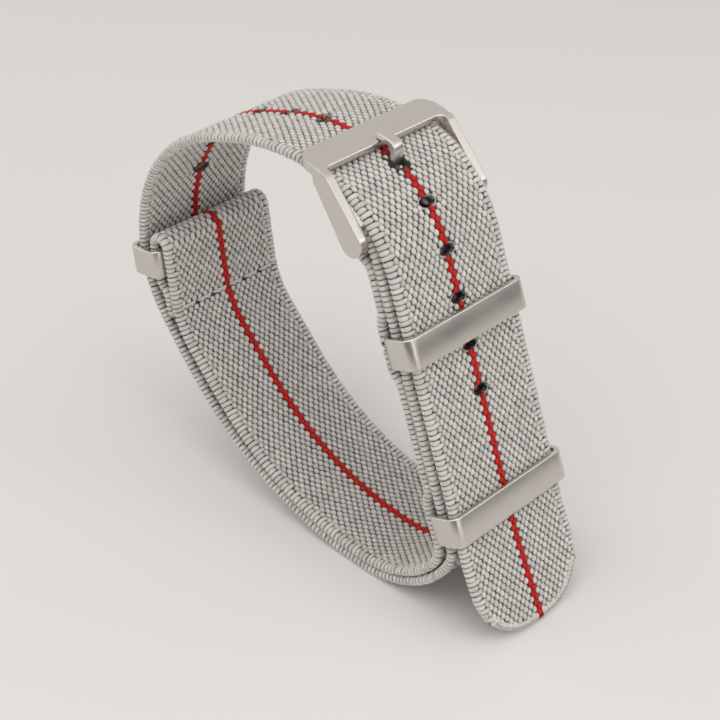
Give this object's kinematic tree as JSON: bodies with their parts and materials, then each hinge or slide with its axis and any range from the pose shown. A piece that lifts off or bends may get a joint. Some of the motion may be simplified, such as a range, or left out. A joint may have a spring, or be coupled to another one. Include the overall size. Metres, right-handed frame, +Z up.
{
  "type": "stretch watch band",
  "caption": "Elastic woven watch band fastened into a leaning loop, with a pull-through pin buckle, a doubled inner strap and sewn-in metal keepers.",
  "frame": {"origin": "middle of the band's box on the surface that it stands on: the bottom bend and the tail's tip touch that surface", "axes": "+Z up, Y across the width of the webbing, +X from the end keeper towards the buckle's side and the tail"},
  "size_m": [0.071, 0.0232, 0.0626],
  "materials": {
    "webbing": "matte",
    "stripe": "matte",
    "thread": "matte",
    "steel": "satin"
  },
  "bodies": {
    "band": {"main_strap": "webbing", "main_strap_stripe": "stripe", "short_strap": "webbing", "short_strap_stripe": "stripe", "spring_bar_tube": "steel", "spring_bar_coil": "steel", "seam_above_upper_keeper": "thread", "seam_below_upper_keeper": "thread", "seam_above_lower_keeper": "thread", "seam_below_lower_keeper": "thread", "seam_end_keeper": "thread"},
    "buckle": {"buckle_frame": "steel"},
    "tongue": {"buckle_tongue": "steel"},
    "tip_near": {"spring_bar_tip_near": "steel"},
    "tip_far": {"spring_bar_tip_far": "steel"},
    "upper_keeper": {"keeper_upper": "steel"},
    "lower_keeper": {"keeper_lower": "steel"},
    "end_keeper": {"keeper_end": "steel"}
  },
  "joints": [
    {"name": "buckle_tilt", "type": "hinge", "parent": "band", "child": "buckle", "pos_m": [0.01066, 0, 0.05267], "axis": [0, 1, 0], "range_deg": [0, 3]},
    {"name": "tongue_pivot", "type": "hinge", "parent": "buckle", "child": "tongue", "pos_m": [0.01066, 0, 0.05267], "axis": [0, 1, 0], "range_deg": [0, 2]},
    {"name": "near_tip_slide", "type": "slide", "parent": "band", "child": "tip_near", "axis": [0, 1, 0], "range_m": [0, 0.0009], "stiffness_N_per_m": 300, "springref_m": -0.0015, "deforming": ["spring_bar_coil"]},
    {"name": "far_tip_slide", "type": "slide", "parent": "band", "child": "tip_far", "axis": [0, -1, 0], "range_m": [0, 0.0009], "stiffness_N_per_m": 300, "springref_m": -0.0015, "deforming": ["spring_bar_coil"]},
    {"name": "upper_keeper_slide", "type": "slide", "parent": "band", "child": "upper_keeper", "axis": [0.342, 0, -0.9397], "range_m": [-0.0004, 0.0004]},
    {"name": "lower_keeper_slide", "type": "slide", "parent": "band", "child": "lower_keeper", "axis": [0.342, 0, -0.9397], "range_m": [-0.0004, 0.0004]},
    {"name": "end_keeper_tilt", "type": "hinge", "parent": "band", "child": "end_keeper", "pos_m": [-0.02958, 0, 0.03272], "axis": [0, 1, 0], "range_deg": [-3, 3]}
  ]
}
